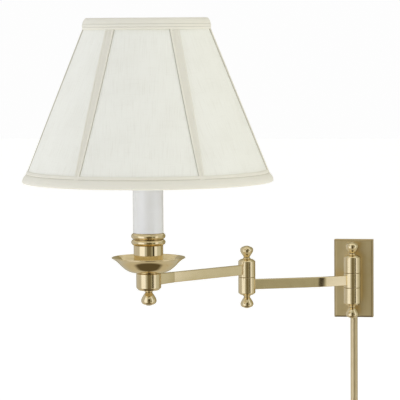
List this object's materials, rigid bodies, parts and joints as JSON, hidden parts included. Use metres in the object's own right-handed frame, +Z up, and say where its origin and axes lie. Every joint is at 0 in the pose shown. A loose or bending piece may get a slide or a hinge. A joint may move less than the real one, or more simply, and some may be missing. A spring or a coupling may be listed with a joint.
{
  "type": "swing arm wall sconce",
  "caption": "Brass wall lamp with a jointed swing arm, finial-ended pivots, a candle sleeve over a pan, and an off-white tapered fabric shade.",
  "frame": {"origin": "middle of the mounting strap's back face, on the wall, at the wall plate's centre", "axes": "+Y into the wall, +Z up, +X to the right of someone facing the wall"},
  "size_m": [0.4109, 0.3822, 0.6954],
  "materials": {
    "plate_brass": "brushed lengthwise, lacquered",
    "satin_brass": "satin brushed, lacquered",
    "polished_brass": "polished, lacquered",
    "steel": "zinc plated",
    "aluminium": "rolled sheet",
    "white_steel": "white enamel on wire",
    "nylon": "natural nylon",
    "lead": "soft insulation",
    "phenolic": "moulded phenolic",
    "candle_white": "glossy white sleeve",
    "bulb_glass": "frosted inside",
    "shade_linen": "off-white linen with slubs",
    "shade_trim": "folded cream fabric band",
    "shade_styrene": "white backing sheet"
  },
  "bodies": {
    "wall_bracket": {"back_plate": "plate_brass", "mounting_strap": "steel", "post_screw_upper": "steel", "post_screw_lower": "steel", "wall_screw_upper": "steel", "wall_screw_lower": "steel", "set_screw_left": "steel", "set_screw_right": "steel", "post_upper": "satin_brass", "post_lower": "satin_brass", "wall_knuckle_upper": "satin_brass", "wall_knuckle_lower": "satin_brass", "wall_pivot_rod": "steel", "wall_finial_top": "polished_brass", "wall_finial_bottom": "polished_brass", "wall_bush_upper": "nylon", "wall_bush_lower": "nylon", "cord_cover": "satin_brass", "cover_clip_upper": "steel", "cover_clip_lower": "steel"},
    "far_arm": {"far_arm_wall_hub": "satin_brass", "elbow_knuckle_lower": "satin_brass", "far_arm_bar": "satin_brass", "far_arm_bar_lead": "lead", "elbow_pivot_rod": "steel", "elbow_finial_top": "polished_brass", "elbow_finial_bottom": "polished_brass", "elbow_bush": "nylon"},
    "near_arm": {"elbow_knuckle_upper": "satin_brass", "near_arm_bar": "satin_brass", "head_hub": "satin_brass", "socket_cap": "satin_brass", "socket_shell": "satin_brass", "socket_contact": "satin_brass", "head_finial": "polished_brass", "pan": "polished_brass", "candle_ferrule": "polished_brass", "head_nipple": "steel", "hub_nut": "steel", "ferrule_nut": "steel", "socket_screw_shell": "aluminium", "bulb_base": "aluminium", "shade_frame": "white_steel", "shade_fitter": "white_steel", "near_arm_bar_lead": "lead", "head_lead": "lead", "socket_core": "phenolic", "fitter_clamp_ring": "phenolic", "candle_sleeve": "candle_white", "bulb_glass": "bulb_glass", "shade_cover": "shade_linen", "shade_trim_top": "shade_trim", "shade_trim_bottom": "shade_trim", "shade_lining": "shade_styrene"},
    "switch": {"switch_shaft": "satin_brass", "switch_knob": "phenolic"}
  },
  "joints": [
    {"name": "wall_swing", "type": "hinge", "parent": "wall_bracket", "child": "far_arm", "pos_m": [0, -0.029, 0], "axis": [0, 0, 1], "range_deg": [-18, 146]},
    {"name": "elbow_swing", "type": "hinge", "parent": "far_arm", "child": "near_arm", "pos_m": [-0.12869, -0.09135, 0.01905], "axis": [0, 0, 1], "range_deg": [-177, 123]},
    {"name": "switch_turn", "type": "hinge", "parent": "near_arm", "child": "switch", "pos_m": [-0.23136, -0.2281, 0.14505], "axis": [0.7997, -0.6004, 0], "continuous": true}
  ]
}
